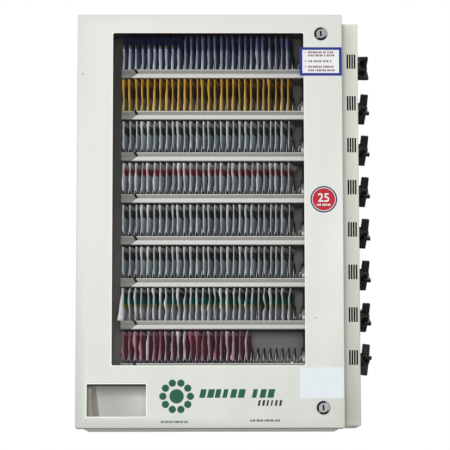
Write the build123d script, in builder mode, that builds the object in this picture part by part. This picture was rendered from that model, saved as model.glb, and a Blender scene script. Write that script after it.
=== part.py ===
from build123d import *
import math
import os

os.makedirs("parts", exist_ok=True)

# A wall or counter vender for flat sachets. Eight rows of wire spirals, one above
# the other, are each turned by a knob on the right. Coins go in beside each knob,
# and the sachet at the left end of a row falls down a shaft to the delivery bin.
# Millimetres. Z is up, the door faces minus Y, and X runs to the right.

# Cabinet and door
cabinet_width = 452.5
cabinet_height = 734.0
cabinet_depth = 151.0
door_depth = 50.0
sheet = 1.2
edge_bend = 1.6
cabinet_flange = 6.0
door_overhang_left = 11.5
door_overhang_right = 6.0
door_rim = 8.0
door_hinge_rim = 25.5

# Window in the door, by what is left of the door around it
left_stile = 63.0
right_stile = 68.5
top_rail = 33.5
bottom_rail = 109.0
window_corner = 3.0
pane_thickness = 3.0
pane_overlap = 9.0
retainer_thickness = 2.0
retainer_margin = 3.5
retainer_lap = 4.0

# Delivery opening, from the door's left edge and bottom
opening_left = 20.0
opening_width = 103.6
opening_bottom = 20.0
opening_height = 56.4
opening_corner = 1.5

# Piano hinge on the left, behind the door's overhang
leaf_thickness = 1.0
leaf_gap = 0.2
leaf_width = 12.0
pin_radius = 1.2
pin_clearance = 0.05
knuckle_radius = 2.4
knuckle_clearance = 0.3
knuckle_length = 40.0
hinge_end = 7.0

# Two cam locks near the door's right edge
lock_from_edge = 37.5
lock_from_end = 35.0
bezel_radius = 12.0
bezel_height = 3.0
barrel_radius = 9.5
barrel_length = 27.0
plug_radius = 7.0
plug_clearance = 0.05
plug_recess = 0.6
keyway_width = 2.8
keyway_length = 9.0
keyway_depth = 12.0
lock_nut_across = 25.0
lock_nut_height = 5.0
cam_thickness = 2.0
cam_width = 14.0
cam_length = 28.5
cam_gap = 0.3
strike_lap = 9.0
strike_gap = 0.9
strike_height = 30.0

# Side housing with the coin slots, on the cabinet's right
housing_reach = 37.6
housing_inset = 6.0
slot_count = 4
slot_pitch = 4.35
slot_width = 2.2
slot_height = 25.5
slot_centre_inset = 12.2

# Rows of product
rows = 8
bottom_row_height = 126.0
top_row_drop = 74.6
axis_setback = 62.0
shaft_width = 63.5
mechanism_width = 57.0

# Wire spiral
wire_radius = 1.25
coil_radius = 20.75
coil_pitch_about = 11.0
coil_start = 1.0
tail_bend = 4.0
tail_length = 3.0
wire_fit = 0.05
floor_gap = 0.3
plain_sides = 8

# Trays
tray_sheet = 1.0
tray_bend = 1.6
trough_gap = 5.0
lip_height = 14.5
lip_knee = 7.0
lip_splay = 3.0
upstand_height = 14.0
notch_from_end = 27.0
notch_width = 2.6
notch_lean = 5.0
notch_depth = 8.0
screw_radius = 1.5
screw_fit = 0.1
screw_head_radius = 3.0
screw_head_height = 1.8
screw_inset = 20.0

# Sachets
sachet_width = 60.0
sachet_headroom = 3.6
sachet_thickness = 4.0
sachet_seam = 0.6
sachet_crimp = 9.0
sachet_seat = 0.3
sold_count = 7

# Coin mechanism
shaft_radius = 6.0
bush_fit = 0.05
bush_wall = 2.5
bush_flange = 1.5
bush_flange_thickness = 1.0
drum_radius = 27.0
drum_chamfer = 1.0
drum_side = 0.45
coin_pocket_depth = 18.0
coupler_radius = 22.0
coupler_thickness = 6.0
coupler_gap = 0.6
guide_gap = 0.5
guide_height = 34.0

# Knobs
knob_gap = 1.4
knob_radius = 28.5
knob_collar_radius = 12.5
knob_collar = 8.0
arm_start = 4.2
arm_end = 17.8
arm_thickness = 6.5
arm_corner = 2.2
arm_edge = 0.8
valley_radius = 7.5
crown_drop = 0.6
crown_radius = 12.0
knob_tilt = 10.9
tilt_from_arm = 35.0
knob_bore_depth = 15.0
knob_bore_fit = 0.02
knob_recess = 2.0
knob_recess_gap = 0.6
cap_radius = 6.8
cap_height = 0.8
parked_turns = (57.0, 27.0, 26.0, 27.0, 28.0, 27.0, 31.0, -5.0)

# Delivery hopper
hopper_height = 72.0
hopper_depth_low = 68.0
hopper_depth_high = 100.0
hopper_pinch_low = 19.0
hopper_pinch_high = 8.0
hopper_door_gap = 2.0
flare_height = 20.0
flare_gap = 0.3
relief_gap = 1.0
foot_inset = 12.0
foot_depth = 45.0

# Cash box
cash_box_height = 66.0
cash_box_gap = 2.0
cash_box_grip = 18.0
slope_rise = 28.0

# Wall bolts
wall_hole_radius = 3.5
wall_hole_spacing_x = 300.0
wall_hole_spacing_z = 640.0
wall_hole_bottom = 60.0

# Places that follow from the sizes above
door_gap = 2 * leaf_thickness + leaf_gap
knob_lean = math.cos(math.radians(tilt_from_arm)) * math.sin(math.radians(knob_tilt))
knob_reach = knob_gap + arm_end - crown_drop + knob_radius * knob_lean
overall_width = door_overhang_left + cabinet_width + housing_reach + knob_reach
overall_depth = bezel_height + door_depth + door_gap + cabinet_depth

door_left = -overall_width / 2
left = door_left + door_overhang_left
right = left + cabinet_width
middle = (left + right) / 2
door_right = right + door_overhang_right
door_width = door_right - door_left
door_middle = (door_left + door_right) / 2
wall_x = right + housing_reach
door_front = -overall_depth / 2 + bezel_height
door_rear = door_front + door_depth
cabinet_front = door_rear + door_gap
back = cabinet_front + cabinet_depth
back_inside = back - sheet
axis_y = cabinet_front + axis_setback
row_pitch = (cabinet_height - top_row_drop - bottom_row_height) / (rows - 1)
row_heights = [bottom_row_height + row_pitch * (rows - 1 - row) for row in range(rows)]
tray_left = left + shaft_width
divider_x = right - mechanism_width
drum_x = wall_x - slot_centre_inset
coil_outer = coil_radius + wire_radius
floor_top = -coil_outer - floor_gap
lip_top = floor_top + lip_height
trough_half = coil_outer + trough_gap
coupler_left = divider_x - coupler_gap - coupler_thickness
coil_left = tray_left + coil_start
coil_room = coupler_left - tail_bend - wire_radius - coil_left
coil_turns = round(coil_room / coil_pitch_about)
coil_pitch = coil_room / coil_turns


def save(piece, name):
    piece.label = name
    export_step(piece, "parts/" + name + ".step")


# Cabinet: a box of folded sheet, open at the front, with an inward flange all
# round. The right wall is cut away where the coin drums stand in the side housing.
with BuildPart() as cabinet_shell:
    with BuildSketch(Plane.XZ.offset(-back)):
        with Locations((middle, cabinet_height / 2)):
            Rectangle(cabinet_width, cabinet_height)
    extrude(amount=cabinet_depth)
    fillet(cabinet_shell.edges().filter_by(Axis.Y), edge_bend)
    with BuildSketch(Plane.XZ.offset(-back_inside)):
        with Locations((middle, cabinet_height / 2)):
            Rectangle(cabinet_width - 2 * sheet, cabinet_height - 2 * sheet)
    extrude(amount=cabinet_depth - 2 * sheet, mode=Mode.SUBTRACT)
    with BuildSketch(Plane.XZ.offset(-cabinet_front)):
        with Locations((middle, cabinet_height / 2)):
            RectangleRounded(
                cabinet_width - 2 * cabinet_flange,
                cabinet_height - 2 * cabinet_flange,
                window_corner,
            )
    extrude(amount=-2 * sheet, mode=Mode.SUBTRACT)
    # way through to the side housing
    with BuildSketch(Plane.YZ.offset(right)):
        with Locations(((cabinet_front + back) / 2, cabinet_height / 2)):
            Rectangle(
                cabinet_depth - 2 * cabinet_flange,
                cabinet_height - 2 * (housing_inset + cabinet_flange),
            )
    extrude(amount=-2 * sheet, mode=Mode.SUBTRACT)
    # holes for the wall bolts and the tray screws
    with BuildSketch(Plane.XZ.offset(-back)):
        with Locations((middle, wall_hole_bottom + wall_hole_spacing_z / 2)):
            with GridLocations(wall_hole_spacing_x, wall_hole_spacing_z, 2, 2):
                Circle(wall_hole_radius)
        for height in row_heights:
            screw_height = height + lip_top + upstand_height / 2
            for x in (tray_left + screw_inset, (tray_left + divider_x) / 2, divider_x - screw_inset):
                with Locations((x, screw_height)):
                    Circle(screw_radius + screw_fit)
    extrude(amount=2 * sheet, mode=Mode.SUBTRACT)
save(cabinet_shell.part, "cabinet_shell")

# Angle strikes, welded behind the flange, behind whose front legs the cams turn.
strike_x = right - cabinet_flange - edge_bend
cam_front = door_front + barrel_length + cam_gap
strike_front = cam_front - strike_gap - sheet
lock_x = door_right - lock_from_edge
lock_heights = (cabinet_height - lock_from_end, lock_from_end)

with BuildPart() as lock_strikes:
    for height in lock_heights:
        with BuildSketch(Plane.XY.offset(height - strike_height / 2)):
            with BuildLine():
                FilletPolyline(
                    (strike_x - strike_lap - sheet, strike_front),
                    (strike_x, strike_front),
                    (strike_x, cabinet_front + sheet),
                    (right - sheet, cabinet_front + sheet),
                    radius=edge_bend,
                )
                offset(amount=sheet, side=Side.LEFT)
            make_face()
        extrude(amount=strike_height)
save(lock_strikes.part, "lock_strikes")

# Side housing: a cover of the same sheet on the cabinet's right wall, open towards
# the cabinet, with four coin slots to a row in front and a bush hole in its side.
housing_height = cabinet_height - 2 * housing_inset

with BuildPart() as side_housing:
    with BuildSketch(Plane.XY.offset(housing_inset)):
        with Locations((right, cabinet_front)):
            Rectangle(housing_reach, cabinet_depth, align=(Align.MIN, Align.MIN))
    extrude(amount=housing_height)
    fillet(side_housing.edges().filter_by(Axis.Z).group_by(Axis.X)[-1].sort_by(Axis.Y)[0], edge_bend)
    with BuildSketch(Plane.XY.offset(housing_inset + sheet)):
        with Locations((right, cabinet_front + sheet)):
            Rectangle(housing_reach - sheet, cabinet_depth - 2 * sheet, align=(Align.MIN, Align.MIN))
    extrude(amount=housing_height - 2 * sheet, mode=Mode.SUBTRACT)
    with BuildSketch(Plane.XZ.offset(-cabinet_front)):
        for height in row_heights:
            with Locations((drum_x, height)):
                with GridLocations(slot_pitch, 1, slot_count, 1):
                    Rectangle(slot_width, slot_height)
    extrude(amount=-2 * sheet, mode=Mode.SUBTRACT)
    with BuildSketch(Plane.YZ.offset(wall_x)):
        for height in row_heights:
            with Locations((axis_y, height)):
                Circle(shaft_radius + bush_fit + bush_wall)
    extrude(amount=-2 * sheet, mode=Mode.SUBTRACT)
    # slope that turns falling coins towards the cash box
    with BuildSketch(Plane.XZ.offset(-cabinet_front - cabinet_flange)):
        with BuildLine():
            Polyline(
                (wall_x - sheet, cash_box_height + slope_rise),
                (right - sheet, cash_box_height + 2 * sheet),
                (right - sheet, cash_box_height + sheet),
                (wall_x - sheet, cash_box_height + slope_rise - sheet),
                close=True,
            )
        make_face()
    extrude(amount=-(cabinet_depth - 2 * cabinet_flange))
save(side_housing.part, "side_housing")

# Divider between the product and the coin mechanisms.
bush_outer = shaft_radius + bush_fit + bush_wall

with BuildPart() as divider_panel:
    with BuildSketch(Plane.YZ.offset(divider_x)):
        with Locations(((cabinet_front + back) / 2, cabinet_height / 2)):
            Rectangle(cabinet_depth - 2 * sheet, cabinet_height - 2 * sheet)
        for height in row_heights:
            with Locations((axis_y, height)):
                Circle(bush_outer, mode=Mode.SUBTRACT)
    extrude(amount=sheet)
save(divider_panel.part, "divider_panel")

# Flanged bushes for the eight drum shafts, in the divider and in the housing wall.
with BuildPart() as shaft_bushes:
    for face_x in (divider_x + sheet, wall_x):
        for height in row_heights:
            with BuildSketch(Plane.YZ.offset(face_x)):
                with Locations((axis_y, height)):
                    Circle(bush_outer + bush_flange)
                    Circle(shaft_radius + bush_fit, mode=Mode.SUBTRACT)
            extrude(amount=bush_flange_thickness)
            with BuildSketch(Plane.YZ.offset(face_x)):
                with Locations((axis_y, height)):
                    Circle(bush_outer)
                    Circle(shaft_radius + bush_fit, mode=Mode.SUBTRACT)
            extrude(amount=-sheet)
save(shaft_bushes.part, "shaft_bushes")

# Coin guides: a slotted block behind each group of coin slots, hollowed at the
# back to follow the drum.
guide_width = slot_pitch * (slot_count - 1) + slot_width + 2 * drum_side

with BuildPart() as coin_guides:
    for height in row_heights:
        with BuildSketch(Plane.XY.offset(height - guide_height / 2)):
            with Locations((drum_x, cabinet_front + sheet)):
                Rectangle(guide_width, axis_setback - sheet, align=(Align.CENTER, Align.MIN))
        extrude(amount=guide_height)
    for height in row_heights:
        with BuildSketch(Plane.YZ.offset(drum_x - guide_width)):
            with Locations((axis_y, height)):
                Circle(drum_radius + guide_gap)
        extrude(amount=2 * guide_width, mode=Mode.SUBTRACT)
        with BuildSketch(Plane.XZ.offset(-cabinet_front)):
            with Locations((drum_x, height)):
                with GridLocations(slot_pitch, 1, slot_count, 1):
                    Rectangle(slot_width, slot_height)
        extrude(amount=-axis_setback, mode=Mode.SUBTRACT)
save(coin_guides.part, "coin_guides")

# Door: a deep pan of folded sheet with the window, the delivery opening and the
# two lock holes, and a narrow rim at its back edge, wider along the hinge.
window_width = door_width - left_stile - right_stile
window_height = cabinet_height - top_rail - bottom_rail
window_x = door_left + left_stile + window_width / 2
window_z = bottom_rail + window_height / 2
opening_x = door_left + opening_left + opening_width / 2
opening_z = opening_bottom + opening_height / 2

with BuildPart() as door_panel:
    with BuildSketch(Plane.XZ.offset(-door_rear)):
        with Locations((door_middle, cabinet_height / 2)):
            Rectangle(door_width, cabinet_height)
    extrude(amount=door_depth)
    fillet(door_panel.edges().filter_by(Axis.Y), edge_bend)
    fillet(door_panel.faces().sort_by(Axis.Y)[0].edges(), edge_bend)
    with BuildSketch(Plane.XZ.offset(-door_front - sheet)):
        with Locations((door_middle, cabinet_height / 2)):
            Rectangle(door_width - 2 * sheet, cabinet_height - 2 * sheet)
    extrude(amount=-(door_depth - 2 * sheet), mode=Mode.SUBTRACT)
    with BuildSketch(Plane.XZ.offset(-door_rear)):
        with Locations((door_middle + (door_hinge_rim - door_rim) / 2, cabinet_height / 2)):
            Rectangle(door_width - door_rim - door_hinge_rim, cabinet_height - 2 * door_rim)
    extrude(amount=2 * sheet, mode=Mode.SUBTRACT)
    with BuildSketch(Plane.XZ.offset(-door_front)):
        with Locations((window_x, window_z)):
            RectangleRounded(window_width, window_height, window_corner)
        with Locations((opening_x, opening_z)):
            RectangleRounded(opening_width, opening_height, opening_corner)
        for height in lock_heights:
            with Locations((lock_x, height)):
                Circle(barrel_radius)
    extrude(amount=-2 * sheet, mode=Mode.SUBTRACT)
save(door_panel.part, "door_panel")

# Window pane, and the frame that holds it against the door from behind.
pane_front = door_front + sheet

with BuildPart() as window_pane:
    with BuildSketch(Plane.XZ.offset(-pane_front)):
        with Locations((window_x, window_z)):
            Rectangle(window_width + 2 * pane_overlap, window_height + 2 * pane_overlap)
    extrude(amount=-pane_thickness)
save(window_pane.part, "window_pane")

retainer_outer = 2 * (pane_overlap + retainer_margin)

with BuildPart() as pane_retainer:
    with BuildSketch(Plane.XZ.offset(-pane_front)):
        with Locations((window_x, window_z)):
            Rectangle(window_width + retainer_outer, window_height + retainer_outer)
            Rectangle(
                window_width + 2 * pane_overlap + leaf_gap,
                window_height + 2 * pane_overlap + leaf_gap,
                mode=Mode.SUBTRACT,
            )
    extrude(amount=-pane_thickness)
    with BuildSketch(Plane.XZ.offset(-pane_front - pane_thickness)):
        with Locations((window_x, window_z)):
            Rectangle(window_width + retainer_outer, window_height + retainer_outer)
            RectangleRounded(
                window_width + retainer_lap,
                window_height + retainer_lap,
                window_corner,
                mode=Mode.SUBTRACT,
            )
    extrude(amount=-retainer_thickness)
save(pane_retainer.part, "pane_retainer")

# Piano hinge: two leaves in the gap between door and cabinet, whose knuckles take
# turns along one pin beside the left wall. The pin is staked in the cabinet's leaf,
# so both share one file.
pin_x = left - knuckle_clearance - knuckle_radius
pin_y = door_rear + knuckle_clearance + knuckle_radius
knuckle_count = int((cabinet_height - 2 * hinge_end) / knuckle_length)
hinge_length = knuckle_count * knuckle_length
hinge_bottom = (cabinet_height - hinge_length) / 2


def hinge_leaf(leaf_front, first_knuckle):
    """One leaf, flat between its two sheets, with every second knuckle of the hinge."""
    with BuildPart() as leaf:
        with BuildSketch(Plane.XY.offset(hinge_bottom)):
            with Locations((left, leaf_front)):
                Rectangle(leaf_width, leaf_thickness, align=(Align.MIN, Align.MIN))
        extrude(amount=hinge_length)
        for knuckle in range(first_knuckle, knuckle_count, 2):
            knuckle_z = hinge_bottom + knuckle * knuckle_length + knuckle_clearance / 2
            with BuildSketch(Plane.XY.offset(knuckle_z)):
                with Locations((pin_x, pin_y)):
                    Circle(knuckle_radius)
                with Locations((pin_x, leaf_front)):
                    Rectangle(left - pin_x + leaf_thickness, leaf_thickness, align=(Align.MIN, Align.MIN))
                with Locations((pin_x, pin_y)):
                    Circle(pin_radius + pin_clearance, mode=Mode.SUBTRACT)
            extrude(amount=knuckle_length - knuckle_clearance)
    return leaf.part


with BuildPart() as hinge_pin:
    with BuildSketch(Plane.XY.offset(hinge_bottom)):
        with Locations((pin_x, pin_y)):
            Circle(pin_radius)
    extrude(amount=hinge_length)
    chamfer(hinge_pin.edges(), pin_radius / 4)

save(hinge_leaf(door_rear, 1), "door_hinge_leaf")
fixed_leaf = hinge_leaf(cabinet_front - leaf_thickness, 0)
save(Compound(children=[fixed_leaf.solid(), hinge_pin.part.solid()]), "cabinet_hinge_leaf")

# Cam locks: a barrel with a rounded bezel and a nut, and a plug with a cam that
# turn together by a quarter turn. Both cams are shown unlocked.
with BuildPart() as lock_barrels:
    for height in lock_heights:
        with BuildSketch(Plane.XZ.offset(-door_front)):
            with Locations((lock_x, height)):
                Circle(bezel_radius)
        extrude(amount=bezel_height, taper=15)
        with BuildSketch(Plane.XZ.offset(-door_front)):
            with Locations((lock_x, height)):
                Circle(barrel_radius)
        extrude(amount=-barrel_length)
    fillet(lock_barrels.faces().sort_by(Axis.Y)[:2].edges(), plug_recess)
    with BuildSketch(Plane.XZ.offset(-door_front + bezel_height)):
        for height in lock_heights:
            with Locations((lock_x, height)):
                Circle(plug_radius + plug_clearance)
    extrude(amount=-bezel_height - barrel_length, mode=Mode.SUBTRACT)
save(lock_barrels.part, "lock_barrels")

with BuildPart() as lock_nuts:
    with BuildSketch(Plane.XZ.offset(-pane_front)):
        for height in lock_heights:
            with Locations((lock_x, height)):
                RegularPolygon(lock_nut_across / 2, 6, major_radius=False)
                Circle(barrel_radius + screw_fit, mode=Mode.SUBTRACT)
    extrude(amount=-lock_nut_height)
    chamfer(lock_nuts.faces().sort_by(Axis.Y)[-2:].edges().filter_by(GeomType.LINE), screw_fit * 4)
save(lock_nuts.part, "lock_nuts")

plug_front = door_front - bezel_height + plug_recess


def lock_plug(height):
    """The turning core, with its keyway, from the bezel to the back of the barrel."""
    with BuildPart() as plug:
        with BuildSketch(Plane.XZ.offset(-plug_front)):
            with Locations((lock_x, height)):
                Circle(plug_radius)
        extrude(amount=-(cam_front - plug_front))
        with BuildSketch(Plane.XZ.offset(-plug_front)):
            with Locations((lock_x, height)):
                Rectangle(keyway_width, keyway_length)
        extrude(amount=-keyway_depth, mode=Mode.SUBTRACT)
    return plug.part


def lock_cam(height, towards):
    """A flat cam on the back of the plug, pointing up or down when unlocked."""
    with BuildPart() as cam:
        with BuildSketch(Plane.XZ.offset(-cam_front)):
            with Locations((lock_x, height + towards * (cam_length - cam_width) / 2)):
                SlotOverall(cam_length, cam_width, rotation=90)
        extrude(amount=-cam_thickness)
        with BuildSketch(Plane.XZ.offset(-cam_front - cam_thickness)):
            with Locations((lock_x, height)):
                RegularPolygon(plug_radius / 2, 6)
        extrude(amount=-cam_thickness)
    return cam.part


save(lock_plug(lock_heights[0]), "top_lock_plug")
save(lock_plug(lock_heights[1]), "bottom_lock_plug")
save(lock_cam(lock_heights[0], -1), "top_lock_cam")
save(lock_cam(lock_heights[1], 1), "bottom_lock_cam")

# Delivery hopper: a folded bin behind the opening, narrower and shallower towards
# its floor, with a flare that closes the gap to the cabinet wall above it.
hopper_front = door_front + sheet + hopper_door_gap
hopper_left = door_left + opening_left - sheet
hopper_right = door_left + opening_left + opening_width + sheet


def hopper_outline(pinch, depth, grow):
    """The bin at one height, as four corners: its inside, or its outside grown by a wall."""
    Polyline(
        (hopper_left - grow, hopper_front),
        (hopper_right + grow, hopper_front),
        (hopper_right + grow, cabinet_front + depth + grow),
        (hopper_left + pinch - grow, cabinet_front + depth + grow),
        close=True,
    )


hopper_rim = opening_bottom + hopper_height
flare_front = cabinet_front + 2 * sheet
flare_back = cabinet_front + hopper_depth_high
flare_x = left + 2 * sheet + flare_gap
relief_x = door_left + door_hinge_rim + relief_gap
relief_back = cabinet_front + relief_gap


def rim_x(y):
    """Where the bin's left wall stands at its rim, at one depth."""
    share = (y - hopper_front) / (flare_back - hopper_front)
    return hopper_left + hopper_pinch_high * share


with BuildPart() as delivery_hopper:
    with BuildSketch(Plane.XY.offset(opening_bottom - sheet)):
        with BuildLine():
            hopper_outline(hopper_pinch_low, hopper_depth_low, sheet)
        make_face()
    with BuildSketch(Plane.XY.offset(hopper_rim)):
        with BuildLine():
            hopper_outline(hopper_pinch_high, hopper_depth_high, sheet)
        make_face()
    loft(ruled=True)
    # its inside, open at the front and the top
    with BuildSketch(Plane.XY.offset(opening_bottom)):
        with BuildLine():
            hopper_outline(hopper_pinch_low, hopper_depth_low, 0)
        make_face()
    with BuildSketch(Plane.XY.offset(hopper_rim)):
        with BuildLine():
            hopper_outline(hopper_pinch_high, hopper_depth_high, 0)
        make_face()
    loft(ruled=True, mode=Mode.SUBTRACT)
    # its left wall starts behind the hinge and the door's rear flange
    with BuildSketch(Plane.XY.offset(opening_bottom - 2 * sheet)):
        with Locations((relief_x, relief_back)):
            Rectangle(hopper_pinch_low, door_depth, align=(Align.MAX, Align.MAX))
    extrude(amount=hopper_height + 4 * sheet, mode=Mode.SUBTRACT)
    # flare from the bin's left rim to the cabinet wall
    for level, front_x, back_x in (
        (hopper_rim - sheet, rim_x(flare_front), rim_x(flare_back)),
        (hopper_rim + flare_height, flare_x, flare_x),
    ):
        with BuildSketch(Plane.XY.offset(level)):
            with BuildLine():
                Polyline(
                    (front_x, flare_front),
                    (front_x - sheet, flare_front),
                    (back_x - sheet, flare_back),
                    (back_x, flare_back),
                    close=True,
                )
            make_face()
    loft(ruled=True)
    # two feet on the cabinet's floor
    with BuildSketch(Plane.XY.offset(sheet)):
        for x in (hopper_left + hopper_pinch_low + foot_inset, hopper_right - foot_inset):
            with Locations((x, cabinet_front + foot_inset)):
                Rectangle(sheet, foot_depth, align=(Align.CENTER, Align.MIN))
    extrude(amount=opening_bottom - 2 * sheet)
save(delivery_hopper.part, "delivery_hopper")

# Cash box: lifts out to the front once the door is open.
cash_box_left = divider_x + sheet + bush_flange_thickness + cash_box_gap
cash_box_right = right - cabinet_flange - cash_box_gap

with BuildPart() as cash_box:
    with BuildSketch(Plane.XY.offset(sheet)):
        with Locations((cash_box_left, cabinet_front + cash_box_gap)):
            Rectangle(
                cash_box_right - cash_box_left,
                cabinet_depth - sheet - 2 * cash_box_gap,
                align=(Align.MIN, Align.MIN),
            )
    extrude(amount=cash_box_height)
    fillet(cash_box.edges().filter_by(Axis.Z), edge_bend)
    offset(amount=-sheet, openings=cash_box.faces().sort_by(Axis.Z)[-1])
    with BuildSketch(Plane.XZ.offset(-cabinet_front - cash_box_gap)):
        with Locations(((cash_box_left + cash_box_right) / 2, sheet + cash_box_height)):
            Circle(cash_box_grip / 2)
    extrude(amount=-2 * sheet, mode=Mode.SUBTRACT)
save(cash_box.part, "cash_box")

# Tray screws, three to a tray, through the upstand into the cabinet's back.
tray_back = back_inside - tray_sheet

with BuildPart() as tray_screws:
    for height in row_heights:
        screw_height = height + lip_top + upstand_height / 2
        for x in (tray_left + screw_inset, (tray_left + divider_x) / 2, divider_x - screw_inset):
            with BuildSketch(Plane.XZ.offset(-tray_back)):
                with Locations((x, screw_height)):
                    Circle(screw_head_radius)
            extrude(amount=screw_head_height, taper=12)
            with BuildSketch(Plane.XZ.offset(-tray_back)):
                with Locations((x, screw_height)):
                    Circle(screw_radius)
            extrude(amount=-(tray_sheet + sheet))
save(tray_screws.part, "tray_screws")


# What follows is one row, drawn about its own axis and then copied to each height.

# Tray: one folded sheet. The front lip has a knee below which it splays forward,
# and a ledge runs back from the trough to an upstand on the cabinet's back.
ledge_end = tray_back - axis_y

with BuildPart() as tray:
    with BuildSketch(Plane.YZ.offset(tray_left)):
        with BuildLine():
            FilletPolyline(
                (-trough_half, lip_top),
                (-trough_half, lip_top - lip_knee),
                (-trough_half - lip_splay, floor_top),
                (trough_half, floor_top),
                (trough_half, lip_top),
                (ledge_end, lip_top),
                (ledge_end, lip_top + upstand_height),
                radius=tray_bend,
            )
            offset(amount=tray_sheet, side=Side.RIGHT)
        make_face()
    extrude(amount=divider_x - tray_left)
    # slanted relief notch near the open end of the lip
    with BuildSketch(Plane.XZ.offset(trough_half + lip_splay + 2 * tray_sheet)):
        with Locations((tray_left + notch_from_end, lip_top)):
            with BuildLine():
                Polyline(
                    (-notch_width / 2, tray_sheet),
                    (notch_width / 2, tray_sheet),
                    (notch_width / 2 + notch_lean, -notch_depth),
                    (-notch_width / 2 + notch_lean, -notch_depth),
                    close=True,
                )
            make_face()
    extrude(amount=-(lip_splay + 4 * tray_sheet), mode=Mode.SUBTRACT)
    with BuildSketch(Plane.XZ.offset(-ledge_end - tray_sheet)):
        for x in (tray_left + screw_inset, (tray_left + divider_x) / 2, divider_x - screw_inset):
            with Locations((x, lip_top + upstand_height / 2)):
                Circle(screw_radius + screw_fit)
    extrude(amount=2 * tray_sheet, mode=Mode.SUBTRACT)

# Spiral: a single wire that makes a full turn for each sachet, then bends parallel
# to its axis and ends in the coupler. Each half turn is two arcs that share a
# tangent, so the wire has no kink.
lead = coil_pitch / (2 * math.pi)


def coil_point(angle):
    """Middle of the wire. The angle grows from the front over the top to the back."""
    return Vector(
        coil_left + wire_radius + lead * angle,
        -coil_radius * math.cos(angle),
        coil_radius * math.sin(angle),
    )


def coil_direction(angle):
    return Vector(lead, coil_radius * math.sin(angle), coil_radius * math.cos(angle)).normalized()


def arc_middle(start, corner, end):
    """Point halfway along the arc that touches both legs of start, corner, end."""
    weight = (end - start).length / (2 * (corner - start).length)
    return (start + corner * (2 * weight) + end) * (1 / (2 + 2 * weight))


def add_biarc(first_angle, last_angle):
    """Two arcs from one point of the coil to another, along it at both ends."""
    start, end = coil_point(first_angle), coil_point(last_angle)
    leaving, arriving = coil_direction(first_angle), coil_direction(last_angle)
    chord = end - start
    along = chord.dot(leaving + arriving)
    spread = 2 * (1 - leaving.dot(arriving))
    leg = (math.sqrt(along**2 + spread * chord.dot(chord)) - along) / spread
    first_corner = start + leaving * leg
    last_corner = end - arriving * leg
    joint = (first_corner + last_corner) * 0.5
    ThreePointArc(start, arc_middle(start, first_corner, joint), joint)
    ThreePointArc(joint, arc_middle(joint, last_corner, end), end)


coil_end_angle = 2 * math.pi * coil_turns
coil_end = coil_point(coil_end_angle)
end_direction = coil_direction(coil_end_angle)
axial = Vector(1, 0, 0)
tail_turn = math.acos(end_direction.dot(axial))
tail_side = (axial - end_direction * end_direction.dot(axial)).normalized()


def tail_point(turn):
    """A point on the bend that takes the wire from the coil to the axial tail."""
    return (
        coil_end
        + end_direction * (tail_bend * math.sin(turn))
        + tail_side * (tail_bend * (1 - math.cos(turn)))
    )


tail_start = tail_point(tail_turn)
tail_end = tail_start + axial * tail_length

with BuildPart() as spiral:
    with BuildLine() as spiral_path:
        for half_turn in range(2 * coil_turns):
            add_biarc(half_turn * math.pi, (half_turn + 1) * math.pi)
        ThreePointArc(coil_end, tail_point(tail_turn / 2), tail_start)
        Line(tail_start, tail_end)
    with BuildSketch(Plane(origin=coil_point(0), z_dir=coil_direction(0))):
        Circle(wire_radius)
    sweep(path=spiral_path.line)

# The same wire with flat sides, for the rows whose turns the sachets hide. Its
# section stays inside the round one.
with BuildPart() as plain_spiral:
    with BuildLine() as plain_path:
        corner_count = plain_sides * coil_turns + 1
        corners = [coil_point(2 * math.pi * corner / plain_sides) for corner in range(corner_count)]
        Polyline(*corners, tail_start, tail_end)
    with BuildSketch(Plane(origin=corners[0], z_dir=corners[1] - corners[0])):
        RegularPolygon(wire_radius, 4)
    sweep(path=plain_path.line, transition=Transition.RIGHT)

wire_gap = coil_pitch * math.cos(math.atan(lead / coil_radius)) - 2 * wire_radius
print("turns per spiral", coil_turns, "least gap between turns", round(wire_gap, 2))

# Coin drum: a drum with four coin pockets on a shaft that runs from the knob, through
# both bushes, to the coupler that holds the spiral's tail.
with BuildPart() as coin_drum:
    with BuildSketch(Plane.YZ.offset(coupler_left)):
        Circle(shaft_radius)
    extrude(amount=wall_x + knob_gap + knob_bore_depth - coupler_left)
    chamfer(coin_drum.edges().sort_by(Axis.X)[-1], drum_chamfer)
    with BuildSketch(Plane.YZ.offset(coupler_left)):
        Circle(coupler_radius)
        with Locations((tail_end.Y, tail_end.Z)):
            Circle(wire_radius + wire_fit, mode=Mode.SUBTRACT)
    extrude(amount=coupler_thickness)
    with BuildSketch(Plane.YZ.offset(drum_x - guide_width / 2)):
        Circle(drum_radius)
    extrude(amount=guide_width)
    chamfer(
        coin_drum.edges().filter_by(GeomType.CIRCLE).filter_by(lambda e: e.radius == drum_radius),
        drum_chamfer,
    )
    with BuildSketch(Plane.XZ.offset(drum_radius)):
        with Locations((drum_x, 0)):
            with GridLocations(slot_pitch, 1, slot_count, 1):
                Rectangle(slot_width, slot_height)
    extrude(amount=-coin_pocket_depth, mode=Mode.SUBTRACT)

# Knob: four blunt arms with rounded valleys between them, on a collar. The arms lean
# a little against the collar, and their outer faces fall away towards the tips.
tilt = math.radians(knob_tilt)
lean_angle = math.radians(180 - tilt_from_arm)
lean_y = math.cos(lean_angle)
lean_z = math.sin(lean_angle)
collar_plane = Plane.YZ.offset(wall_x + knob_gap)
arm_middle = (arm_start + arm_end) / 2
arm_half = (arm_end - arm_start) / 2
arm_plane = Plane(
    origin=(wall_x + knob_gap + arm_middle, 0, 0),
    x_dir=(math.tan(tilt) * lean_y, 1, 0),
    z_dir=(math.cos(tilt), -math.sin(tilt) * lean_y, -math.sin(tilt) * lean_z),
)
crown_run = (knob_radius - crown_radius) / crown_drop

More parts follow.
